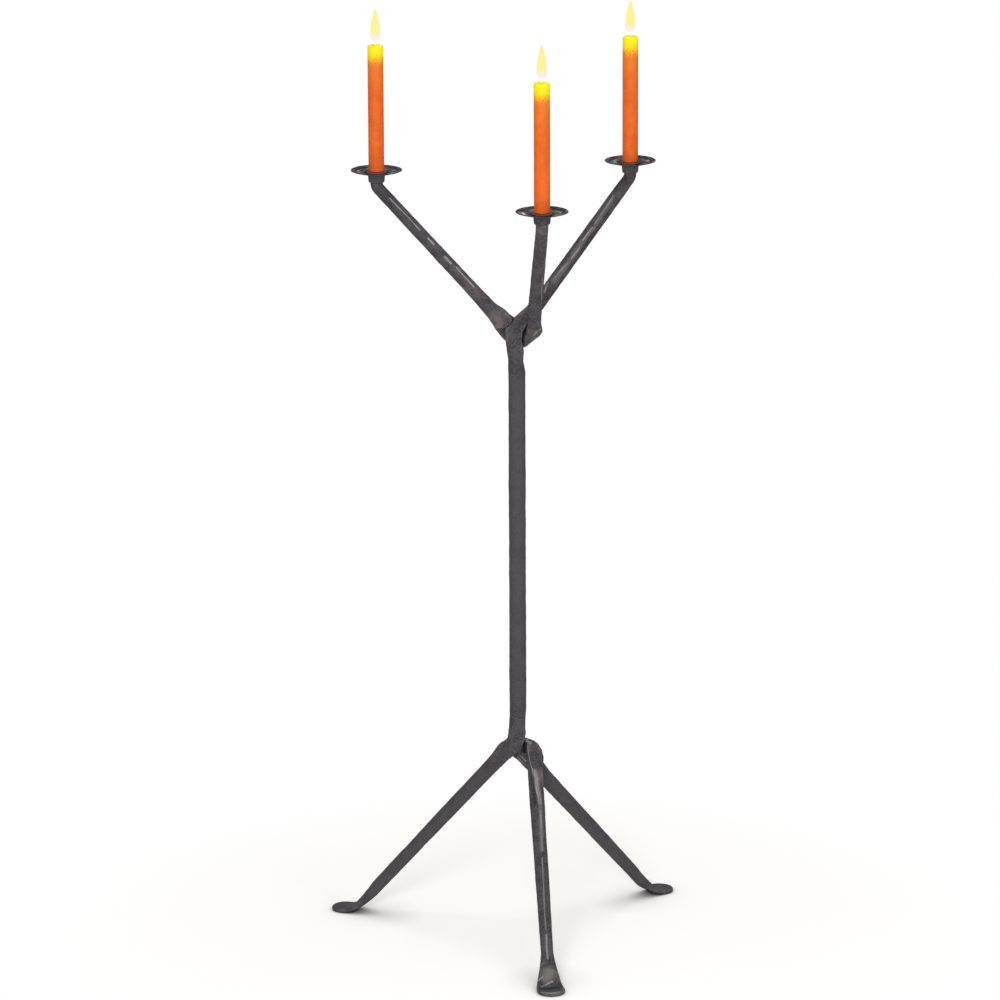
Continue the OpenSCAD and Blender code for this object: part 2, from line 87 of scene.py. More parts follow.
# sRGB hex to linear colour
def linear(hexColour, alpha=1.0):
    parts = [int(hexColour[i:i + 2], 16) / 255 for i in (1, 3, 5)]
    return tuple(c / 12.92 if c <= 0.04045 else ((c + 0.055) / 1.055) ** 2.4 for c in parts) + (alpha,)


# settings that many nodes share
smoothly = {"interpolation_type": "SMOOTHSTEP"}
inColour = {"data_type": "RGBA"}
times = {"operation": "MULTIPLY"}


# adds one node and gives back the node or one of its outputs: inputs are values, hex colours or the
# sockets to link from, by name or in order, and keyword settings are its properties
def addNode(tree, kind, inputs=(), out=None, **settings):
    node = tree.nodes.new("ShaderNode" + kind)
    for name, value in settings.items():
        setattr(node, name, value)
    for name, value in inputs.items() if isinstance(inputs, dict) else enumerate(inputs):
        if isinstance(value, bpy.types.NodeSocket):
            tree.links.new(value, node.inputs[name])
        else:
            node.inputs[name].default_value = linear(value) if isinstance(value, str) else value
    return node if out is None else node.outputs[out]


def newTree(name):
    material = bpy.data.materials.new(name)
    material.use_nodes = True
    material.node_tree.nodes.clear()
    return material, material.node_tree


ironLook = {
    "scale": "#4E4C4F",        # black forge scale under wax
    "scaleDark": "#3B393C",
    "scaleLight": "#6C686B",
    "warmAndLit": "#7A7070",         # where the bar was worked last, browner, and lighter as painted light on the shoulders, the joints and the tops of the legs
    "wornAndLit": "#ABA6A4",         # scale rubbed off down to the iron, and painted highlight where light falls along the bars
    # rubbed edges, lighter also as painted highlight where edges catch the light
    "edge": "#827B7B",
    "blackAndShade": "#161517",         # painted shade, in the crevices of the laps and on unlit flanks
    "patchMm": 16.0,           # size of the tone patches
    "patchRelief": 0.8,        # mm
    "grainMm": 2.2,            # grain of the scale, drawn coarser than the real 0.5 mm so that it shows
    "grainRelief": 0.25,
    "fibreMm": 1.1,            # scratches along the bar, drawn coarser than the real 0.2 mm so that they show
    "stretch": 0.05,           # the scratches are 20 times as long as they are wide
    "even": 0.55,              # share of scale over scaleDark where the hammer left no grain
    "smooth": 0.3,             # share of scaleLight there
    "roughness": 0.58,
    "wornRoughness": 0.4,
    "wornMetal": 0.4,
    "specular": 0.03,          # dull, also at a glancing angle
}


# hot forged wrought iron, waxed: mottled dark scale, grainy, with rubbed edges and, along the bars,
# bright fibrous streaks where the scale has come off; edges, streaks and bands carry painted highlight too,
# warm spots painted light and crevices painted shade
def forgedIron(name, look):
    material, tree = newTree(name)
    place = addNode(tree, "TexCoord", out="Object")
    patches = addNode(tree, "TexNoise", {"Vector": place, "Scale": 1000 / look["patchMm"], "Detail": 5.0,
                      "Roughness": 0.6}, "Fac")
    grain = addNode(tree, "TexNoise", {"Vector": place, "Scale": 1000 / look["grainMm"], "Detail": 3.0,
                    "Roughness": 0.7}, "Fac")
    barPlace = addNode(tree, "Attribute", out="Vector", attribute_name="barPlace")
    drawn = addNode(tree, "VectorMath", (barPlace, (look["stretch"], 1, 1)), 0, **times)
    fibres = addNode(tree, "TexNoise", {"Vector": drawn, "Scale": 1000 / look["fibreMm"],
                     "Detail": 2.0}, "Fac")
    marks = {mark: addNode(tree, "Attribute", out="Fac", attribute_name=mark)
             for mark in ("coarse", "warmAndLit", "edge", "blackAndShade", "wornAndLit", "markSide", "wornAndLitBand")}

    # mottled and grainy where it is coarse, even where the hammer left it smooth
    blotches = addNode(tree, "MapRange", (patches, 0.35, 0.65, 0.0, 1.0), 0, **smoothly)
    patchy = addNode(tree, "Mix", {0: marks["coarse"], 2: look["even"], 3: blotches}, 0)
    tone = addNode(tree, "Mix", {0: patchy, 6: look["scaleDark"], 7: look["scale"]}, 2, **inColour)
    specks = addNode(tree, "MapRange", (grain, 0.42, 0.7, 0.0, 0.65), 0, **smoothly)
    lighter = addNode(tree, "Mix", {0: marks["coarse"], 2: look["smooth"], 3: specks}, 0)
    tone = addNode(tree, "Mix", {0: lighter, 6: tone, 7: look["scaleLight"]}, 2, **inColour)

    # warmer places, lighter also as painted light, and rubbed edges with painted highlight, broken up by the
    # patches, then painted shade
    for mark, low, high, least, most in (("warmAndLit", 0.3, 0.6, 0.4, 0.95), ("edge", 0.42, 0.6, 0.2, 0.9)):
        broken = addNode(tree, "MapRange", (patches, low, high, least, most), 0, **smoothly)
        share = addNode(tree, "Math", (marks[mark], broken), 0, **times)
        tone = addNode(tree, "Mix", {0: share, 6: tone, 7: look[mark]}, 2, **inColour)
    # painted shade in the crevices and on the unlit flanks
    tone = addNode(tree, "Mix", {0: marks["blackAndShade"], 6: tone, 7: look["blackAndShade"]}, 2, **inColour)

    # streaks with clear sides and soft bands, rubbed wear and painted highlight, both drawn out in fibres
    off = addNode(tree, "Math", (marks["markSide"],), 0, operation="ABSOLUTE")
    inside = addNode(tree, "MapRange", (off, 0.6, 1.1, 1.0, 0.0), 0, **smoothly)
    streak = addNode(tree, "Math", (marks["wornAndLit"], inside), 0, **times)
    rubbed = []
    for mark, low, high, least in ((streak, 0.42, 0.6, 0.4), (marks["wornAndLitBand"], 0.35, 0.65, 0.55)):
        drawn = addNode(tree, "MapRange", (fibres, low, high, least, 1.0), 0, **smoothly)
        rubbed.append(addNode(tree, "Math", (mark, drawn), 0, **times))
    wornAndLit = addNode(tree, "Math", rubbed, 0, operation="MAXIMUM")
    tone = addNode(tree, "Mix", {0: wornAndLit, 6: tone, 7: look["wornAndLit"]}, 2, **inColour)
    rough = addNode(tree, "MapRange", {0: wornAndLit, 3: look["roughness"], 4: look["wornRoughness"]}, 0)
    metal = addNode(tree, "Math", (wornAndLit, look["wornMetal"]), 0, **times)

    bump = addNode(tree, "Bump", {"Height": grain, "Strength": 0.4, "Distance": look["grainRelief"] * mm}, 0)
    bump = addNode(tree, "Bump", {"Height": patches, "Strength": 0.5, "Distance": look["patchRelief"] * mm,
                   "Normal": bump}, 0)
    shader = addNode(tree, "BsdfPrincipled", {"Base Color": tone, "Roughness": rough, "Metallic": metal,
                     "Specular IOR Level": look["specular"], "Normal": bump}, 0)
    addNode(tree, "OutputMaterial", (shader,))
    return material


panLook = {
    "blackAndShade": "#232224",         # the blackened sheet, with painted shade round the cup and under the rim
    "paintedReflection": "#605D60",        # painted reflection of the bright surroundings, in rings
    "bright": "#A39D9A",       # scratches of the scraper that takes the wax off
    # painted highlight, a light line along the rim
    "rim": "#6A6563",
    "paintedGlint": "#F2EDE8",         # painted glints of the lamps on the sheet
    # mm from the axis where each ring of painted reflection starts, is full, fades and ends, and how strong
    # it is
    "reflectionRings": [(17, 21, 27, 29, 1.0), (30.5, 31.5, 32.8, 33.8, 0.9)],
    "rimFrom": 34.8,
    "rimFull": 35.5,
    "patchMm": 7.0,
    "patchRelief": 0.6,        # mm
    "grainMm": 2.0,
    "grainRelief": 0.2,
    "scratchMm": 1.3,          # across the scratches, drawn coarser than the real 0.3 mm so that they show
    "roughness": 0.42,
    "specular": 0.012,
}


# raised sheet iron, blackened: painted shade round the cup and under the rim, rings of painted reflection
# between them, scratched in rings, with a painted highlight along the rim and painted glints
def raisedSheet(name, look):
    material, tree = newTree(name)
    place = addNode(tree, "TexCoord", out="Object")
    radius = addNode(tree, "Attribute", out="Fac", attribute_name="reach")
    turned = addNode(tree, "Attribute", out="Vector", attribute_name="turned")
    paintedGlint = addNode(tree, "Attribute", out="Fac", attribute_name="paintedGlint")
    patches = addNode(tree, "TexNoise", {"Vector": place, "Scale": 1000 / look["patchMm"], "Detail": 4.0,
                      "Roughness": 0.6}, "Fac")
    grain = addNode(tree, "TexNoise", {"Vector": place, "Scale": 1000 / look["grainMm"],
                    "Detail": 2.0}, "Fac")
    scratches = addNode(tree, "TexNoise", {"Vector": turned, "Scale": 1000 / look["scratchMm"],
                        "Detail": 2.0}, "Fac")
    # rings of painted reflection over the dark sheet, whose painted shade stays round the cup and under the
    # rim
    rings = []
    for start, full, fading, end, amount in look["reflectionRings"]:
        opens = addNode(tree, "MapRange", (radius, start * mm, full * mm, 0.0, 1.0), 0, **smoothly)
        closes = addNode(tree, "MapRange", (radius, fading * mm, end * mm, amount, 0.0), 0, **smoothly)
        rings.append(addNode(tree, "Math", (opens, closes), 0, **times))
    paintedReflection = addNode(tree, "Math", rings, 0, operation="ADD")
    broken = addNode(tree, "MapRange", (patches, 0.4, 0.6, 0.15, 1.0), 0, **smoothly)
    paintedReflection = addNode(tree, "Math", (paintedReflection, broken), 0, **times)
    tone = addNode(tree, "Mix", {0: paintedReflection, 6: look["blackAndShade"], 7: look["paintedReflection"]}, 2, **inColour)
    lines = addNode(tree, "MapRange", (scratches, 0.5, 0.66, 0.0, 0.75), 0, **smoothly)
    scratched = addNode(tree, "Math", (paintedReflection, lines), 0, **times)
    tone = addNode(tree, "Mix", {0: scratched, 6: tone, 7: look["bright"]}, 2, **inColour)
    # painted highlight: a light line along the rim
    edge = addNode(tree, "MapRange", (radius, look["rimFrom"] * mm, look["rimFull"] * mm, 0.0, 1.0), 0,
                   **smoothly)
    broken = addNode(tree, "MapRange", (patches, 0.4, 0.55, 0.0, 0.6), 0, **smoothly)
    rim = addNode(tree, "Math", (edge, broken), 0, **times)
    tone = addNode(tree, "Mix", {0: rim, 6: tone, 7: look["rim"]}, 2, **inColour)
    # painted glints of the lamps
    tone = addNode(tree, "Mix", {0: paintedGlint, 6: tone, 7: look["paintedGlint"]}, 2, **inColour)
    bump = addNode(tree, "Bump", {"Height": grain, "Strength": 0.4, "Distance": look["grainRelief"] * mm}, 0)
    bump = addNode(tree, "Bump", {"Height": patches, "Strength": 0.6, "Distance": look["patchRelief"] * mm,
                   "Normal": bump}, 0)
    shader = addNode(tree, "BsdfPrincipled", {"Base Color": tone, "Roughness": look["roughness"],
                     "Specular IOR Level": look["specular"], "Normal": bump}, 0)
    addNode(tree, "OutputMaterial", (shader,))
    return material


steelLook = {"colour": "#8E8E90", "roughness": 0.4, "turnMm": 0.5, "relief": 0.1}


# turned steel of the screws: fine rings round the axis
def turnedSteel(name, look):
    material, tree = newTree(name)
    place = addNode(tree, "TexCoord", out="Object")
    rings = addNode(tree, "TexWave", {"Vector": place, "Scale": 50 / look["turnMm"]}, "Fac",
                    bands_direction="Z")
    bump = addNode(tree, "Bump", {"Height": rings, "Strength": 0.3, "Distance": look["relief"] * mm}, 0)
    shader = addNode(tree, "BsdfPrincipled", {"Base Color": look["colour"], "Metallic": 1.0,
                     "Roughness": look["roughness"], "Normal": bump}, 0)
    addNode(tree, "OutputMaterial", (shader,))
    return material


# heights in mm
waxLook = {
    "body": "#F16C22",
    "bodyDark": "#E6641B",
    "cloudScale": 90.0,        # clouds of about 11 mm in the dye
    "lit": "#F6952E",          # under the speckled end, where light comes through the wax
    "litFrom": 1190.0,
    "litFull": 1240.0,
    "litAmount": 0.35,
    "foot": "#6E2610",         # painted shade where it stands in the cup
    "footFull": 1088.4,
    "footEnd": 1090.2,
    "footAmount": 0.92,
    "top": "#F8E216",
    "topEdge": "#F7B414",
    "speckleFrom": 1233.0,     # speckled from here up
    "yellowFrom": 1263.0,      # the glowing yellow end starts here
    "speckleMm": 1.1,
    "speckleRise": (-0.28, 0.42),
    "molten": (0.38, 0.64),
    "glow": 0.17,              # light from inside the molten end
    "roughness": 0.5,
    "specular": 0.2,
    "scatter": 0.12,
    "scatterMm": 3.0,
}


# dipped taper candle: smooth dyed wax, lit through at its molten end
def dippedWax(name, look):
    material, tree = newTree(name)
    place = addNode(tree, "TexCoord", out="Object")
    height = addNode(tree, "SeparateXYZ", (place,), "Z")
    cloud = addNode(tree, "TexNoise", {"Vector": place, "Scale": look["cloudScale"], "Detail": 4.0}, "Fac")
    speckle = addNode(tree, "TexNoise", {"Vector": place, "Scale": 1000 / look["speckleMm"],
                      "Detail": 1.0}, "Fac")
    clouds = addNode(tree, "MapRange", (cloud, 0.35, 0.65, 0.0, 1.0), 0, **smoothly)
    body = addNode(tree, "Mix", {0: clouds, 6: look["bodyDark"], 7: look["body"]}, 2, **inColour)
    lit = addNode(tree, "MapRange", (height, look["litFrom"] * mm, look["litFull"] * mm, 0.0,
                  look["litAmount"]), 0, **smoothly)
    body = addNode(tree, "Mix", {0: lit, 6: body, 7: look["lit"]}, 2, **inColour)
    # painted shade of the cup on the candle's foot
    foot = addNode(tree, "MapRange", (height, look["footFull"] * mm, look["footEnd"] * mm,
                   look["footAmount"], 0.0), 0, **smoothly)
    body = addNode(tree, "Mix", {0: foot, 6: body, 7: look["foot"]}, 2, **inColour)
    ends = look["speckleFrom"] * mm, look["yellowFrom"] * mm
    rise = addNode(tree, "MapRange", (height, *ends, *look["speckleRise"]), 0)
    lifted = addNode(tree, "Math", (speckle, rise), 0, operation="ADD")
    molten = addNode(tree, "MapRange", (lifted, *look["molten"], 0.0, 1.0), 0, **smoothly)
    paler = addNode(tree, "MapRange", (height, *ends, 0.0, 1.0), 0, **smoothly)
    yellow = addNode(tree, "Mix", {0: paler, 6: look["topEdge"], 7: look["top"]}, 2, **inColour)
    colour = addNode(tree, "Mix", {0: molten, 6: body, 7: yellow}, 2, **inColour)
    glow = addNode(tree, "Math", (molten, look["glow"]), 0, **times)
    shader = addNode(tree, "BsdfPrincipled", {"Base Color": colour, "Roughness": look["roughness"],
                     "Specular IOR Level": look["specular"], "Subsurface Weight": look["scatter"],
                     "Subsurface Scale": look["scatterMm"] * mm, "Emission Color": colour,
                     "Emission Strength": glow}, 0)
    addNode(tree, "OutputMaterial", (shader,))
    return material


wickLook = {
    "cotton": "#FFF3B4",
    "char": "#4A3A30",
    "charFrom": 1272.0,        # mm
    "charFull": 1273.5,
    "strandMm": 0.8,
    "relief": 0.2,
    # painted glow, as if its flame lit the wick
    "glow": 0.45,
}


# braided cotton, waxed white, charred where it burns, with a painted glow from its flame
def braidedCotton(name, look):
    material, tree = newTree(name)
    place = addNode(tree, "TexCoord", out="Object")
    height = addNode(tree, "SeparateXYZ", (place,), "Z")
    strands = addNode(tree, "TexWave", {"Vector": place, "Scale": 50 / look["strandMm"]}, "Fac",
                      bands_direction="DIAGONAL")
    burnt = addNode(tree, "MapRange", (height, look["charFrom"] * mm, look["charFull"] * mm, 0.0, 1.0), 0,
                    **smoothly)
    colour = addNode(tree, "Mix", {0: burnt, 6: look["cotton"], 7: look["char"]}, 2, **inColour)
    bump = addNode(tree, "Bump", {"Height": strands, "Strength": 0.5, "Distance": look["relief"] * mm}, 0)
    shader = addNode(tree, "BsdfPrincipled", {"Base Color": colour, "Roughness": 0.85,
                     "Emission Color": colour, "Emission Strength": look["glow"], "Normal": bump}, 0)
    addNode(tree, "OutputMaterial", (shader,))
    return material


flameLook = {
    "body": "#FFF594",
    "foot": "#FFFFFF",
    "rim": "#D6C9E6",
    "footFrom": 2.0,           # mm over the flame's lowest point
    "footMm": 14.0,
    "rimAmount": 0.32,
    "rimLeft": 0.06,
}


# burning gas: it only gives light, pale yellow above and nearly white at its foot
def flameGas(name, look, low):
    material, tree = newTree(name)
    place = addNode(tree, "TexCoord", out="Object")
    height = addNode(tree, "SeparateXYZ", (place,), "Z")
    above = addNode(tree, "MapRange", (height, (low + look["footFrom"]) * mm, (low + look["footMm"]) * mm,
                    0.0, 1.0), 0, **smoothly)
    colour = addNode(tree, "Mix", {0: above, 6: look["foot"], 7: look["body"]}, 2, **inColour)
    light = addNode(tree, "Emission", {"Color": colour, "Strength": 1.0}, 0)
    addNode(tree, "OutputMaterial", (light,))
    return material


# the thin cooler mantle round the gas, faintly violet
def flameMantle(name, look, low):
    material, tree = newTree(name)
    place = addNode(tree, "TexCoord", out="Object")
    height = addNode(tree, "SeparateXYZ", (place,), "Z")
    amount = addNode(tree, "MapRange", (height, (low + look["footFrom"]) * mm, (low + look["footMm"]) * mm,
                     look["rimAmount"], look["rimLeft"]), 0, **smoothly)
    clear = addNode(tree, "BsdfTransparent", out=0)
    light = addNode(tree, "Emission", {"Color": look["rim"], "Strength": 1.0}, 0)
    shader = addNode(tree, "MixShader", (amount, clear, light), 0)
    addNode(tree, "OutputMaterial", (shader,))
    return material


barIron = forgedIron("wroughtIronHotForged", ironLook)
sheetIron = raisedSheet("sheetIronRaised", panLook)
steel = turnedSteel("steelTurned", steelLook)
wax = dippedWax("taperWaxDipped", waxLook)
cotton = braidedCotton("cottonBraided", wickLook)
print("materials made")


# forged bars, arms and legs
forgeSettings = {
    "voxel": 0.9,            # mm
    "smoothing": 5,
    "dressing": 30,          # passes over the welded ends of the leaves
    "swell": 0.3,            # mm, scale and wax on the bar
    "dentMm": 12.0,          # spacing of the hammer marks
    "dentDepth": 0.32,       # mm
    "waveMm": 45.0,          # slow unevenness of the bar
    "waveDepth": 0.35,
    "dip": 0.9,              # mm that a skin dips under its neighbour
    "dipFront": (7.5, 9.0),  # mm in front of the post's axis from where it does
    "sole": 0.6,             # mm, what lies lower is pressed flat on the floor
    "edgeFrom": 95.0,        # 1/m, curvature where an edge starts to look rubbed and painted lighter as a highlight
    "edgeFull": 260.0,
    "edgeShare": 0.6,
    "streakFade": 3.0,       # mm, at both ends of a streak
    "streakWithin": 30.0,    # mm from the axis, so that leaves and feet have none
    "smoothLoss": 0.6,       # share of the grain that is gone where the bar is smooth
    "smoothFade": 40.0,
    "barRadius": 11.0,       # mm
}

# neighbours forged into a piece's skin: node, point in mm on the cut, direction of what is cut away
joined = {
    "post": [("arm_right", (0, 0, 860), (0, 0, 1)), ("leg_left", (0, 0, 286), (0, 0, -1))],
    "arm_right": [("arm_rivet", (0, 60.5, 0), (0, 1, 0))],
    "leg_left": [("leg_rivet", (0, 60.5, 0), (0, 1, 0))],
}

# where two pieces share a leaf, each skin dips under the other: from height to height in mm
dipped = {"arm_right": [(857, 851)], "leg_left": [(289, 295)], "post": [(853, 859), (293, 287)]}

# the welded ends of the leaves, dressed flush with the post: heights in mm
dressed = {"post": [(832, 848), (298, 314)]}

# rubbed streaks: distance along the bar from its first end, angle round it from the top, width in mm
wornMarks = {
    "arm_front": [(150, 190, -50, 1.6)],
    "leg_right": [(90, 150, 30, 2.0)],
}

# rubbed lines, which also paint highlights along ridges, rims and facets, through points in mm from the foot
# of the post's axis: points, width in mm, strength
rubbedAndLitLines = {
    "arm_left": [
        ([(-164, 87, 1053), (-150, 79, 1038), (-137, 72, 1025), (-125, 64, 1011)], 1.7, 0.9),
        ([(-148, 82, 1042), (-140, 76, 1032)], 1.1, 0.6),
        ([(-114, 59, 1000), (-107, 55, 992)], 3.0, 0.9),
        ([(-93, 46, 975), (-85, 42, 967)], 3.4, 1.0),
        ([(-78, 39, 962), (-67, 32, 949), (-56, 25, 936)], 2.4, 0.9)],
    "arm_right": [
        ([(151, 83, 1045), (144, 77, 1036), (128, 68, 1018), (121, 63, 1009)], 1.5, 0.6),
        ([(118, 61, 1006), (110, 57, 998), (103, 52, 990)], 2.2, 0.95),
        ([(97, 47, 980), (84, 40, 967)], 1.8, 0.95),
        ([(92, 47, 980), (85, 44, 973)], 1.2, 0.7),
        ([(79, 37, 962), (67, 32, 952), (59, 28, 944)], 1.6, 0.85),
        ([(49, 27, 938), (42, 17, 925)], 2.6, 0.5)],
    "arm_front": [([(14, -128, 980), (17, -104, 958), (21, -82, 938)], 2.2, 0.5),
                  ([(24, -3, 870), (27, -11, 877), (31, -20, 883)], 3.0, 0.45)],
    "leg_front": [
        ([(12, -8, 277), (12, -21, 264), (13, -32, 254), (15, -38, 248), (16, -44, 243),
          (16, -50, 235), (16, -59, 226), (17, -66, 219)], 1.6, 0.9),
        ([(27, -33, 252), (26, -44, 239)], 1.4, 0.45),
        ([(18, -80, 203), (17, -89, 192), (13, -120, 158)], 2.4, 0.6),
        ([(12, -128, 150), (7, -171, 102), (4, -202, 69)], 2.0, 0.5),
        ([(4, -206, 63), (2, -221, 46), (2, -229, 37)], 3.4, 0.55),
        ([(-1, 1, 258), (13, 1, 244)], 1.3, 0.5),
        ([(6, 1, 257), (11, 1, 251)], 2.0, 0.9),
        ([(1, 1, 262), (6, 1, 256)], 1.0, 0.4),
        ([(11, 1, 283), (14, 1, 281), (18, -5, 280)], 1.6, 0.7),
        ([(-14, -246, 11), (-10, -244, 14), (-7, -243, 16)], 1.6, 0.6),
        ([(-12, -260, 7), (-8, -256, 7), (-4, -253, 8), (1, -251, 9), (5, -250, 10)], 3.0, 0.9),
        ([(-15, -277, 5), (-4, -284, 5), (9, -282, 5)], 1.9, 0.4)],
}

# broad lighter bands with soft sides, rubbed wear and painted light on facets and ridges that face the light,
# given in the same way
rubbedAndLitBands = {
    "arm_left": [([(-93, 45, 975), (-56, 25, 935)], 7.0, 0.08)],
    "arm_right": [([(152, 82, 1044), (120, 61, 1005)], 7.0, 0.2),
                  ([(120, 61, 1005), (103, 52, 990)], 7.0, 0.36),
                  ([(103, 52, 990), (84, 40, 966), (57, 26, 939)], 10.0, 0.26)],
    "leg_front": [([(16, -38, 248), (18, -46, 241), (18, -54, 232), (19, -62, 223),
                    (19, -72, 211)], 8.0, 0.6),
                  ([(19, -74, 209), (17, -89, 192), (13, -120, 158)], 7.0, 0.3),
                  ([(13, 0, 281), (17, -6, 279)], 6.0, 0.6),
                  ([(2, -239, 21), (0, -243, 17), (-5, -246, 13)], 17.0, 0.25)],
}

# painted shade in the crevices and on the unlit flanks, given in the same way
shadeLines = {
    "arm_front": [([(12, -3, 880), (10, 1, 873), (8, 1, 866), (8, 1, 858)], 7.0, 0.9)],
    "leg_front": [([(9, 1, 278), (9, 1, 271), (9, 1, 265)], 5.6, 0.92),
                  ([(12, -37, 247), (12, -48, 235), (12, -71, 212)], 6.5, 0.35),
                  ([(-13, -266, 6), (-4, -268, 6), (10, -266, 6)], 9.0, 0.55)],
}

# flats cut with the chisel: point on the flat, direction it faces, reach in mm
chiselCuts = {
    "leg_front": [((-3, -243, 16.6), (-0.12, -0.7, 0.7), 19)],
}

# stretches that the hammer left smoother, without grain: heights in mm
drawnSmooth = {"post": [(310, 840)], "leg_left": [(0, 270)], "leg_right": [(0, 270)]}

# how strongly the edges are rubbed and painted lighter as a highlight, where that differs from edgeShare in
# the settings
edgeShare = {"leg_left": 0.15, "leg_right": 0.25, "post": 0.2, "arm_right": 0.35, "arm_left": 0.35}

footReach = 252.0            # mm from the post's axis

# plan direction, first and last end of each member's axis as [reach, height], sideways offset at the post
memberAxes = {
    "arm_left": (150, (207, 1066.5), (0, 868), 0),
    "arm_front": (-90, (207, 1066.5), (0, 868), 22),
    "arm_right": (30, (207, 1066.5), (0, 872.6), 0),
    "leg_left": (150, (0, 286.8), (footReach, 8), 0),
    "leg_front": (-90, (0, 275), (footReach, 8), 22),
    "leg_right": (30, (0, 270.9), (footReach, 8), 0),
    "post": (-90, (0, 868), (0, 278), 0),
}

# browner iron round these points, lighter there as painted light: x and y from the post's axis, z, reach,
# strength
warmLitSpots = [
    (-26, 4, 891, 24, 0.9), (20, -8, 872, 15, 0.7), (30, -4, 880, 9, 0.5), (-60, 30, 925, 22, 0.4),
    (24, -4, 262, 16, 0.5), (25, -42, 238, 16, 0.6), (0, -242, 18, 16, 0.6), (-4, 6, 262, 8, 0.8),
]


# where a member starts, and its directions along, up and sideways
def memberFrame(name):
    azimuth, first, last, offset = memberAxes[name]
    a = math.radians(azimuth)
    out, across = Vector((math.cos(a), math.sin(a), 0)), Vector((-math.sin(a), math.cos(a), 0))
    ends = [out * reach * mm + across * (offset * mm * (1 - reach / footReach)) + Vector((0, 0, z * mm))
            + postAxis for reach, z in (first, last)]
    outward = (ends[0] - ends[1]) if first[0] > last[0] else (ends[1] - ends[0])
    outward.normalize()
    top = out if first[0] == last[0] else (Vector((0, 0, 1)) - outward * outward.z).normalized()
    return ends[0], (ends[1] - ends[0]).normalized(), top, outward.cross(top)


def smoothStep(low, high, value):
    t = np.clip((value - low) / (high - low), 0, 1)
    return t * t * (3 - 2 * t)


def readVectors(mesh, what):
    values = np.empty(len(mesh.vertices) * 3)
    mesh.vertices.foreach_get(what, values)
    return values.reshape(-1, 3)


def storeField(mesh, name, values):
    field = mesh.attributes.new(name, "FLOAT", "POINT")
    field.data.foreach_set("value", values.astype(np.float32))


def storeVectors(mesh, name, values):
    field = mesh.attributes.new(name, "FLOAT_VECTOR", "POINT")
    field.data.foreach_set("vector", values.astype(np.float32).ravel())


def finishSkin(mesh, material):
    mesh.polygons.foreach_set("use_smooth", np.ones(len(mesh.polygons), dtype=bool))
    mesh.materials.clear()
    mesh.materials.append(material)


# makes an object of a bmesh, at the origin, and smooths it where it gets a material
def newPiece(name, work, material=None):
    mesh = bpy.data.meshes.new(name)
    work.to_mesh(mesh)
    work.free()
    if material:
        finishSkin(mesh, material)
    piece = bpy.data.objects.new(name, mesh)
    bpy.context.collection.objects.link(piece)
    return piece


# how sharply the surface bends outward at each vertex, in 1/m
def convexity(mesh, points, normals):
    edges = np.empty(len(mesh.edges) * 2, dtype=np.int64)
    mesh.edges.foreach_get("vertices", edges)
    a, b = edges.reshape(-1, 2).T
    step = points[a] - points[b]
    length = np.maximum((step ** 2).sum(1), 1e-12)
    total, count = np.zeros(len(points)), np.zeros(len(points))
    np.add.at(total, a, (normals[a] * step).sum(1) / length)
    np.add.at(total, b, -(normals[b] * step).sum(1) / length)
    np.add.at(count, a, 1)
    np.add.at(count, b, 1)
    bend = total / np.maximum(count, 1) * 4
    near = np.zeros(len(points))
    np.add.at(near, a, bend[b])
    np.add.at(near, b, bend[a])
    return (bend + near) / (1 + count)


# a closed copy of a node, cut off at a plane where one is given
def closedCopy(node, cut=None):
    part = bmesh.new()
    part.from_mesh(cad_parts[node].data)
    bmesh.ops.remove_doubles(part, verts=part.verts, dist=0.01 * mm)
    if cut:
        point, away = cut
        found = bmesh.ops.bisect_plane(part, geom=part.verts[:] + part.edges[:] + part.faces[:],
                                       dist=0.001 * mm, plane_co=[v * mm for v in point], plane_no=away,
                                       clear_outer=True)
        rim = [edge for edge in found["geom_cut"] if isinstance(edge, bmesh.types.BMEdge)]
        bmesh.ops.holes_fill(part, edges=rim)
    mesh = bpy.data.meshes.new(node + "Copy")
    part.to_mesh(mesh)
    part.free()
    return mesh


# a copy of a node's mesh and of what is forged into it, as one new object
def mergedCopy(name, node):
    work = bmesh.new()
    work.from_mesh(closedCopy(node))
    for other, point, away in joined.get(node, []):
        work.from_mesh(closedCopy(other, (point, away)))
    return newPiece(name, work)


def applyModifiers(piece):
    solid = bpy.data.meshes.new_from_object(piece.evaluated_get(bpy.context.evaluated_depsgraph_get()))
    piece.modifiers.clear()
    piece.data = solid
    return solid


# the streaks of a member: how far a point lies inside one along the bar, and across it from -1 to 1
def streaks(node, along, angle, radius, settings):
    wornAndLit, side = np.zeros(len(along)), np.full(len(along), 4.0)
    fade = settings["streakFade"]
    for low, high, at, width in wornMarks.get(node, []):
        reach = smoothStep(low - fade, low + fade, along) * (1 - smoothStep(high - fade, high + fade, along))
        off = ((angle - at + 180) % 360 - 180) * np.pi / 180 * radius / width * 2
        nearer = (reach > 0) & (np.abs(off) < np.abs(side)) & (radius < settings["streakWithin"])
        side[nearer], wornAndLit[nearer] = off[nearer], reach[nearer]
    return wornAndLit, side


# distance in mm, along the skin, from each point to a line through corners given in mm from the post's
# axis: how far the corners lie over or under the skin doesn't count, up to a few mm
def lineDistance(points, normals, corners, overOrUnder=4):
    local = points / mm - np.array([0, postY, 0])
    best = np.full(len(points), 1e3)
    for a, b in zip(corners, corners[1:]):
        a, step = np.array(a), np.array(b) - np.array(a)
        t = np.clip((local - a) @ step / (step @ step), 0, 1)
        away = local - a - t[:, None] * step
        depth = (away * normals).sum(1)
        depth[np.abs(depth) > overOrUnder] = 0
        best = np.minimum(best, np.linalg.norm(away - depth[:, None] * normals, axis=1))
    return best


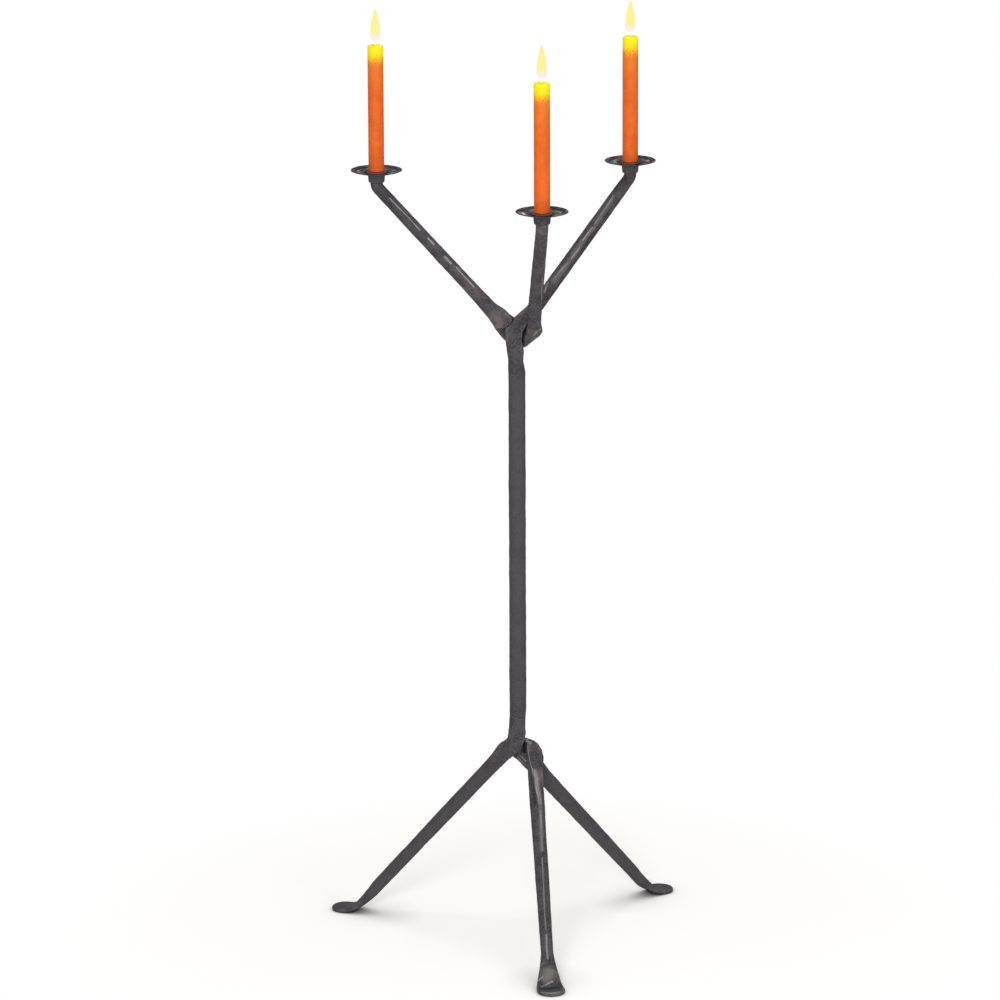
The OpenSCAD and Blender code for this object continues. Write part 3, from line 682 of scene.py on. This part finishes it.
# how far each point lies inside soft lines: full up to a share of their half width
def softLines(points, normals, lines, share):
    amount = np.zeros(len(points))
    for corners, width, strength in lines:
        off = lineDistance(points, normals, corners) / width * 2
        amount = np.maximum(amount, strength * (1 - smoothStep(share, 1.15, off)))
    return amount


# flattens what stands above a chisel cut
def chisel(points, cut):
    at, face, reach = cut
    at, face = np.array(at) * mm + np.array(postAxis), np.array(face) / np.linalg.norm(face)
    above = np.maximum((points - at) @ face, 0)
    away = np.linalg.norm(points - at, axis=1) / mm
    points -= (above * (1 - smoothStep(0.7 * reach, reach, away)))[:, None] * face


# smooths the welded ends of the leaves flush with the post
def dressLeaves(mesh, zones, passes):
    work = bmesh.new()
    work.from_mesh(mesh)
    for low, high in zones:
        zone = [v for v in work.verts if low * mm < v.co.z < high * mm]
        for _ in range(passes):
            bmesh.ops.smooth_vert(work, verts=zone, factor=0.5, use_axis_x=True, use_axis_y=True)
    work.to_mesh(mesh)
    work.free()


# one hammer mark: -1 at its middle, 0 on the ridges between the marks
def dent(place, ridge=0.8):
    near = noise.voronoi(place)[0][0]
    return (min(near, ridge) / ridge) ** 2 - 1


# hammers the skin, dips it under its neighbours, presses the sole flat and cuts the chisel's flats
def hammer(mesh, node, settings):
    points, normals = readVectors(mesh, "co"), readVectors(mesh, "normal")
    push = np.full(len(points), settings["swell"])
    for i, p in enumerate(points):
        wave = noise.noise(Vector(p / (settings["waveMm"] * mm)))
        mark = dent(Vector(p / (settings["dentMm"] * mm)))
        push[i] += settings["dentDepth"] * mark + settings["waveDepth"] * wave
    atFront = smoothStep(*settings["dipFront"], postY - points[:, 1] / mm)
    for start, end in dipped.get(node, []):
        push -= settings["dip"] * atFront * smoothStep(0, 1, (points[:, 2] / mm - start) / (end - start))
    points += normals * (push * mm)[:, None]
    points[points[:, 2] < settings["sole"] * mm, 2] = 0
    for cut in chiselCuts.get(node, []):
        chisel(points, cut)
    mesh.vertices.foreach_set("co", points.ravel())
    mesh.update()
    return points


# stores on the skin what its material shows: rubbed edges, streaks and bands, all with painted highlight,
# warm places with painted light, painted shade and smooth places
def markIron(mesh, node, points, settings):
    normals, height = readVectors(mesh, "normal"), points[:, 2] / mm
    share = edgeShare.get(node, settings["edgeShare"])
    edge = share * smoothStep(settings["edgeFrom"], settings["edgeFull"], convexity(mesh, points, normals))
    for low, high in dressed.get(node, []):
        edge[(height > low - 4) & (height < high + 4)] = 0
    # browner places, lighter as painted light
    warmAndLit = np.zeros(len(points))
    for x, y, z, reach, amount in warmLitSpots:
        away = np.linalg.norm(points - np.array([x, y + postY, z]) * mm, axis=1)
        warmAndLit = np.maximum(warmAndLit, amount * (1 - smoothStep(0.4 * reach * mm, reach * mm, away)))
    coarse, fade = np.ones(len(points)), settings["smoothFade"]
    for low, high in drawnSmooth.get(node, []):
        within = smoothStep(low, low + fade, height) * (1 - smoothStep(high - fade, high, height))
        coarse -= settings["smoothLoss"] * within

    start, along, top, right = (np.array(v) for v in memberFrame(node))
    away = points - start
    over, wide = away @ top, away @ right
    angle, radius = np.arctan2(wide, over), np.hypot(wide, over) / mm
    wornAndLit, side = streaks(node, away @ along / mm, np.degrees(angle), radius, settings)
    # rubbed lines, partly painted highlights along ridges and rims
    for corners, width, strength in rubbedAndLitLines.get(node, []):
        off = lineDistance(points, normals, corners) / width * 2
        nearer = off < np.abs(side)
        side[nearer], wornAndLit[nearer] = off[nearer], strength

    # rubbed edges with painted highlight
    storeField(mesh, "edge", edge)
    storeField(mesh, "warmAndLit", warmAndLit)
    storeField(mesh, "coarse", coarse)
    storeField(mesh, "wornAndLitBand", softLines(points, normals, rubbedAndLitBands.get(node, []), 0.2))
    storeField(mesh, "wornAndLit", wornAndLit)
    storeField(mesh, "markSide", side)
    # painted shade
    storeField(mesh, "blackAndShade", softLines(points, normals, shadeLines.get(node, []), 0.5))
    place = np.stack([away @ along, angle * settings["barRadius"] * mm, np.zeros(len(points))], axis=1)
    storeVectors(mesh, "barPlace", place)


# remeshes a copy of a node, hammers its skin and marks where it is rubbed and where highlight, light and
# shade are painted
def forge(name, node, material, settings=forgeSettings):
    piece = mergedCopy(name, node)
    remesh = piece.modifiers.new("even", "REMESH")
    remesh.mode, remesh.voxel_size = "VOXEL", settings["voxel"] * mm
    soften = piece.modifiers.new("soften", "SMOOTH")
    soften.factor, soften.iterations = 0.5, settings["smoothing"]
    mesh = applyModifiers(piece)
    if node in dressed:
        dressLeaves(mesh, dressed[node], settings["dressing"])
    points = hammer(mesh, node, settings)
    markIron(mesh, node, points, settings)
    finishSkin(mesh, material)
    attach(piece, "stand")
    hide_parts(node)
    print("forged", name, len(mesh.polygons), "faces")


# a CAD node whose shape is right keeps it and only gets its material
def dressNode(node, material):
    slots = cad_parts[node].data.materials
    slots.clear()
    slots.append(material)


forge("postForged", "post", barIron)
for side in sides:
    forge("arm" + side.title() + "Forged", "arm_" + side, barIron)
    forge("leg" + side.title() + "Forged", "leg_" + side, barIron)
for node in ("arm_rivet", "leg_rivet"):
    dressNode(node, barIron)


# pans and cups, each spun round the axis of its cup
def cupAxis(side):
    low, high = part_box("candle_cup_" + side)
    return Vector(((low.x + high.x) / 2, (low.y + high.y) / 2, 0))


# spins a profile of [radius, height] in mm round the vertical axis at centre
def spun(name, centre, profile, steps, material, body, nodes=(), closed=True):
    work = bmesh.new()
    verts = [work.verts.new((r * mm, 0, z * mm)) for r, z in profile]
    ring = list(zip(verts, verts[1:] + verts[:1])) if closed else list(zip(verts, verts[1:]))
    edges = [work.edges.new(pair) for pair in ring]
    bmesh.ops.spin(work, geom=verts + edges, cent=(0, 0, 0), axis=(0, 0, 1), angle=math.tau,
                   steps=steps, use_merge=True, use_duplicate=False)
    bmesh.ops.remove_doubles(work, verts=work.verts, dist=0.004 * mm)
    bmesh.ops.recalc_face_normals(work, faces=work.faces)
    bmesh.ops.translate(work, verts=work.verts, vec=centre)
    piece = newPiece(name, work, material)
    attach(piece, body)
    if nodes:
        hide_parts(*nodes)
    return piece


def arc(cx, cz, radius, start, end, count):
    angles = [math.radians(start + (end - start) * i / count) for i in range(count + 1)]
    return [(cx + radius * math.cos(a), cz + radius * math.sin(a)) for a in angles]


# mm
panShape = {
    "inner": 12.35,
    "floor": 15.0,            # radius of the level middle
    "rim": 35.8,
    "floorZ": 1085.7,
    "rise": 4.8,
    "curve": 1.3,
    "sheet": 1.0,
    "edgeIn": 0.55,
    "dent": 0.22,
    "dentMm": 9.0,
    "hammered": (15.5, 19.0),
    "turnMm": 4.0,            # scratch pattern for each radian round the pan, so that scratches run long
    "spotDepth": 0.4,         # the painted glints are longer from front to back
    "steps": 120,
    "rings": 26,
}

# painted glints of the lamps on the pans: x and y in mm from the cup's axis, reach, strength
glintSpots = {
    "left": [(-24, 8, 3.0, 0.3), (20, -14, 3.0, 0.3)],
    "front": [(-25, 1, 4.4, 0.95), (-30, 3, 3.0, 0.3), (25, 1, 2.6, 0.3), (34, -1, 2.2, 0.35),
              (17, -13, 5.0, 0.15)],
    "right": [(-20, 10, 3.4, 0.3), (26, 3, 3.0, 0.3)],
}


def dishHeight(shape, r):
    q = max(0.0, (r - shape["floor"]) / (shape["rim"] - shape["floor"]))
    return shape["floorZ"] + shape["rise"] * q ** shape["curve"]


# shallow pan raised from sheet, its edge hammered over
def makePan(side, shape):
    inner, reach, rings = shape["inner"], shape["rim"] - shape["edgeIn"], shape["rings"]
    radii = [inner + (reach - inner) * i / rings for i in range(rings + 1)]
    half = shape["sheet"] / 2
    top = [(r, dishHeight(shape, r)) for r in radii]
    lip = arc(reach, dishHeight(shape, reach) - half, half, 70, -70, 6)
    under = [(r, dishHeight(shape, r) - shape["sheet"]) for r in reversed(radii)]
    pan = spun("dripPan" + side.title(), cupAxis(side), top + lip + under, shape["steps"], sheetIron,
               "stand", ["drip_pan_" + side])
    mesh = pan.data
    points = readVectors(mesh, "co")
    across, back = (points - np.array(cupAxis(side)))[:, :2].T
    radius = np.hypot(across, back) / mm
    hammered = smoothStep(*shape["hammered"], radius)
    for i, p in enumerate(points):
        mark = dent(Vector((p[0], p[1], 0)) / (shape["dentMm"] * mm))
        points[i, 2] += hammered[i] * shape["dent"] * mm * mark
    mesh.vertices.foreach_set("co", points.ravel())
    mesh.update()
    # painted glints of the lamps
    paintedGlint = np.zeros(len(points))
    for x, y, spot, amount in glintSpots[side]:
        off = np.hypot(across / mm - x, (y - back / mm) * shape["spotDepth"])
        paintedGlint = np.maximum(paintedGlint, amount * (1 - smoothStep(0.2 * spot, spot, off)))
    storeField(mesh, "reach", radius * mm)
    storeField(mesh, "paintedGlint", paintedGlint)
    turned = np.arctan2(across, -back) * shape["turnMm"] * mm
    storeVectors(mesh, "turned", np.stack([turned, radius * mm, np.zeros(len(points))], axis=1))


# mm
cupShape = {
    "bore": 2.55,
    "foot": 11.2,
    "body": 12.3,
    "lip": 13.2,
    "socketFloor": 10.48,
    "socket": 11.3,
    "bottom": 1072.5,
    "floor": 1075.9,
    "neck": 1085.7,
    "top": 1087.7,
    "footRound": 1.8,
    "lipRound": 0.7,
    "mouthRound": 0.3,
    "sink": 2.5,
    "steps": 96,
}


# turned cup with a low lip over the pan
def makeCup(side, shape):
    s = shape
    foot, lip, mouth = s["footRound"], s["lipRound"], s["mouthRound"]
    outside = [(s["bore"], s["bottom"]), (s["foot"] - 2, s["bottom"])] + \
        arc(s["foot"] - foot, s["bottom"] + foot, foot, -80, 0, 5) + \
        [(s["body"], s["neck"]), (s["lip"] - 0.2, s["neck"])] + \
        arc(s["lip"] - lip, s["top"] - lip, lip, 0, 90, 4)
    inside = arc(s["socket"] + mouth, s["top"] - mouth, mouth, 90, 180, 2) + \
        [(s["socket"], s["neck"]), (s["socketFloor"], s["floor"]), (s["bore"] + s["sink"], s["floor"]),
         (s["bore"], s["floor"] - s["sink"])]
    cup = spun("candleCup" + side.title(), cupAxis(side), outside + inside, s["steps"], barIron, "stand",
               ["candle_cup_" + side])
    height = readVectors(cup.data, "co")[:, 2] / mm
    storeField(cup.data, "coarse", np.ones(len(height)))
    # painted reflection of the orange candle on the cup's lip, lighter and warmer there
    storeField(cup.data, "warmAndLit", 0.9 * smoothStep(s["neck"] + 0.6, s["top"] - 0.4, height))


for side in sides:
    makePan(side, panShape)
    makeCup(side, cupShape)
    dressNode("cup_screw_" + side, steel)
print("pans and cups made")


# mm
candleShape = {
    "floor": 1075.9,
    "neck": 1085.7,
    "top": 1265.9,
    "radius": 11.0,
    "butt": 10.18,
    "round": 2.6,
    "pool": 0.15,             # depth of the molten pool round the wick
    "poolRim": 6.5,
    "poolFloor": 3.5,
    "bore": 0.85,
    "rings": 12,
    "steps": 72,
}


def makeCandle(side, shape):
    s = shape
    low, high, rings = s["neck"] + 2, s["top"] - s["round"], s["rings"]
    wall = [(s["radius"], low + (high - low) * i / rings) for i in range(rings)]
    pool = [(s["poolRim"], s["top"] - 0.5 * s["pool"]), (s["poolFloor"], s["top"] - s["pool"]),
            (s["bore"], s["top"] - 0.7 * s["pool"])]
    profile = [(s["bore"], s["floor"]), (s["butt"], s["floor"]), (s["radius"], s["neck"])] + wall + \
        arc(s["radius"] - s["round"], high, s["round"], 0, 80, 6) + pool
    candle = spun("candle" + side.title(), cupAxis(side), profile, s["steps"], wax,
                  "candle_%s_body" % side, ["candle_" + side])


# mm
wickShape = {
    "low": 1077.9,
    "wax": 1264.6,            # it comes out of the wax here
    "top": 1273.9,
    "radius": 0.74,
    "lobe": 0.1,              # share of the radius by which each strand stands out
    "strands": 3,
    "turnMm": 4.0,
    "bend": 1.3,
    "sides": 18,
    "steps": 26,
}


# three cotton strands twisted together, leaning over at the tip
def makeWick(side, shape):
    s = shape
    work = bmesh.new()
    ring = bmesh.ops.create_circle(work, cap_ends=True, segments=s["sides"], radius=s["radius"] * mm)["verts"]
    for v in ring:
        angle = math.atan2(v.co.y, v.co.x)
        v.co.xy *= 1 + s["lobe"] * math.cos(s["strands"] * angle)
    bmesh.ops.translate(work, verts=work.verts, vec=(0, 0, s["low"] * mm))
    face = next(iter(work.faces))
    shown = s["top"] - s["wax"]
    before, lean = s["low"], 0.0
    for z in [s["wax"] + shown * i / s["steps"] for i in range(s["steps"] + 1)]:
        grown = bmesh.ops.extrude_face_region(work, geom=[face])
        moved = [g for g in grown["geom"] if isinstance(g, bmesh.types.BMVert)]
        bmesh.ops.delete(work, geom=[face], context="FACES_ONLY")
        face = next(g for g in grown["geom"] if isinstance(g, bmesh.types.BMFace))
        turn = (z - max(before, s["wax"])) / s["turnMm"] * math.tau / s["strands"]
        bmesh.ops.rotate(work, verts=moved, cent=(lean * mm, 0, before * mm),
                         matrix=Matrix.Rotation(turn, 3, "Z"))
        now = s["bend"] * max(0.0, (z - s["wax"]) / shown) ** 2
        bmesh.ops.translate(work, verts=moved, vec=((now - lean) * mm, 0, (z - before) * mm))
        before, lean = z, now
    bmesh.ops.recalc_face_normals(work, faces=work.faces)
    bmesh.ops.translate(work, verts=work.verts, vec=cupAxis(side))
    wick = newPiece("wick" + side.title(), work, cotton)
    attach(wick, "candle_%s_body" % side)
    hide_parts("wick_" + side)


# mm
flameShape = {
    "low": 1271.9,
    "top": 1316.8,
    "radius": 7.0,
    "widestAt": 0.2,          # share of the height
    "taper": (1.7, 0.8),      # how late and how bluntly it draws in to its tip
    "mantle": 0.7,
    "steps": 48,
    "rings": 22,
    "footRings": 6,           # these lie closer together
}


def flameRadius(shape, t):
    w, (late, blunt) = shape["widestAt"], shape["taper"]
    if t < w:
        return shape["radius"] * math.sqrt(max(0.0, 1 - ((w - t) / w) ** 2))
    q = (t - w) / (1 - w)
    return shape["radius"] * (1 - min(q, 1) ** late) ** blunt


# closed teardrop of burning gas round the wick's tip, with its thin mantle
def makeFlame(side, shape, gas, mantle):
    s = shape
    height = s["top"] - s["low"]
    for name, material, extra in (("flame", gas, 0.0), ("flameMantle", mantle, s["mantle"])):
        profile = [(0.0, s["low"] - extra)]
        for i in range(1, s["rings"]):
            t = (i / s["rings"]) ** 1.4 if i < s["footRings"] else i / s["rings"]
            profile.append((flameRadius(s, t) + extra, s["low"] + height * t))
        profile.append((0.0, s["top"] + extra))
        spun(name + side.title(), cupAxis(side), profile, s["steps"], material, "candle_%s_body" % side,
             closed=False)


gas = flameGas("flameGas", flameLook, flameShape["low"])
mantle = flameMantle("flameMantle", flameLook, flameShape["low"])
for side in sides:
    makeCandle(side, candleShape)
    makeWick(side, wickShape)
    makeFlame(side, flameShape, gas, mantle)
print("candles, wicks and flames made")


# metres
studio = {
    "floor": "#FCFAF8",
    "floorRadius": 16.0,
    "floorFill": 0.325,       # light added to the floor for the camera only
    "contact": 0.07,          # reach round each foot over which the floor darkens towards it
    "contactRays": 16,
    "fadeMiddle": (0.0, 0.05, 0.0),
    "fadeFrom": 0.25,         # the floor starts to turn white here
    "fadeTo": 0.72,
    "world": 0.225,
    # place, size, power in watts, aimed at
    "lamps": {
        "keySoftbox": ((-1.4, -4.9, 2.6), 1.6, 150, (0, 0, 0.7)),
        "fillSoftbox": ((2.2, -4.6, 1.6), 2.0, 34, (0, 0, 0.7)),
        "topSoftbox": ((0.2, 0.4, 3.6), 2.2, 38, (0, 0.05, 0.0)),
    },
}


# 1 for rays that the camera sees, straight, mirrored or through glass, and 0 for light on its way
def seenRays(tree):
    rays = addNode(tree, "LightPath").outputs
    seen = addNode(tree, "Math", (rays["Is Camera Ray"], rays["Is Glossy Ray"]), 0, operation="MAXIMUM")
    return addNode(tree, "Math", (seen, rays["Is Transmission Ray"]), 0, operation="MAXIMUM")


# white paper that keeps the soft shadows near the feet and turns pure white further out
def makeFloor(setup):
    work = bmesh.new()
    bmesh.ops.create_circle(work, cap_ends=True, segments=96, radius=setup["floorRadius"])
    floor = newPiece("studioFloor", work)
    material, tree = newTree("studioPaper")
    place = addNode(tree, "TexCoord", out="Object")
    level = addNode(tree, "VectorMath", (place, setup["fadeMiddle"]), 0, operation="SUBTRACT")
    away = addNode(tree, "VectorMath", (level,), "Value", operation="LENGTH")
    fade = addNode(tree, "MapRange", (away, setup["fadeFrom"], setup["fadeTo"], 0.0, 1.0), 0, **smoothly)
    seen = seenRays(tree)
    shaded = addNode(tree, "AmbientOcclusion", {"Color": setup["floor"], "Distance": setup["contact"]},
                     "Color", samples=setup["contactRays"])
    paper = addNode(tree, "BsdfDiffuse", {"Color": shaded}, 0)
    fill = addNode(tree, "Math", (seen, setup["floorFill"]), 0, **times)
    lift = addNode(tree, "Emission", {"Color": shaded, "Strength": fill}, 0)
    near = addNode(tree, "AddShader", (paper, lift), 0)
    white = addNode(tree, "Emission", {"Color": (1, 1, 1, 1), "Strength": 1.0}, 0)
    whiter = addNode(tree, "Math", (seen, fade), 0, **times)
    both = addNode(tree, "MixShader", (whiter, near, white), 0)
    addNode(tree, "OutputMaterial", (both,))
    floor.data.materials.append(material)


def makeWorld(setup):
    world = bpy.data.worlds.new("studioLight")
    bpy.context.scene.world = world
    world.use_nodes = True
    tree = world.node_tree
    tree.nodes.clear()
    strength = addNode(tree, "MapRange", {0: seenRays(tree), 3: setup["world"], 4: 1.0}, 0)
    back = addNode(tree, "Background", {"Color": (1, 1, 1, 1), "Strength": strength}, 0)
    addNode(tree, "OutputWorld", (back,))


def makeLamps(setup):
    for name, (place, size, power, aim) in setup["lamps"].items():
        data = bpy.data.lights.new(name, "AREA")
        data.size, data.energy = size, power
        lamp = bpy.data.objects.new(name, data)
        bpy.context.collection.objects.link(lamp)
        lamp.location = place
        lamp.rotation_mode = "QUATERNION"
        lamp.rotation_quaternion = (Vector(aim) - Vector(place)).to_track_quat("-Z", "Y")


makeFloor(studio)
makeWorld(studio)
makeLamps(studio)
print("studio made")
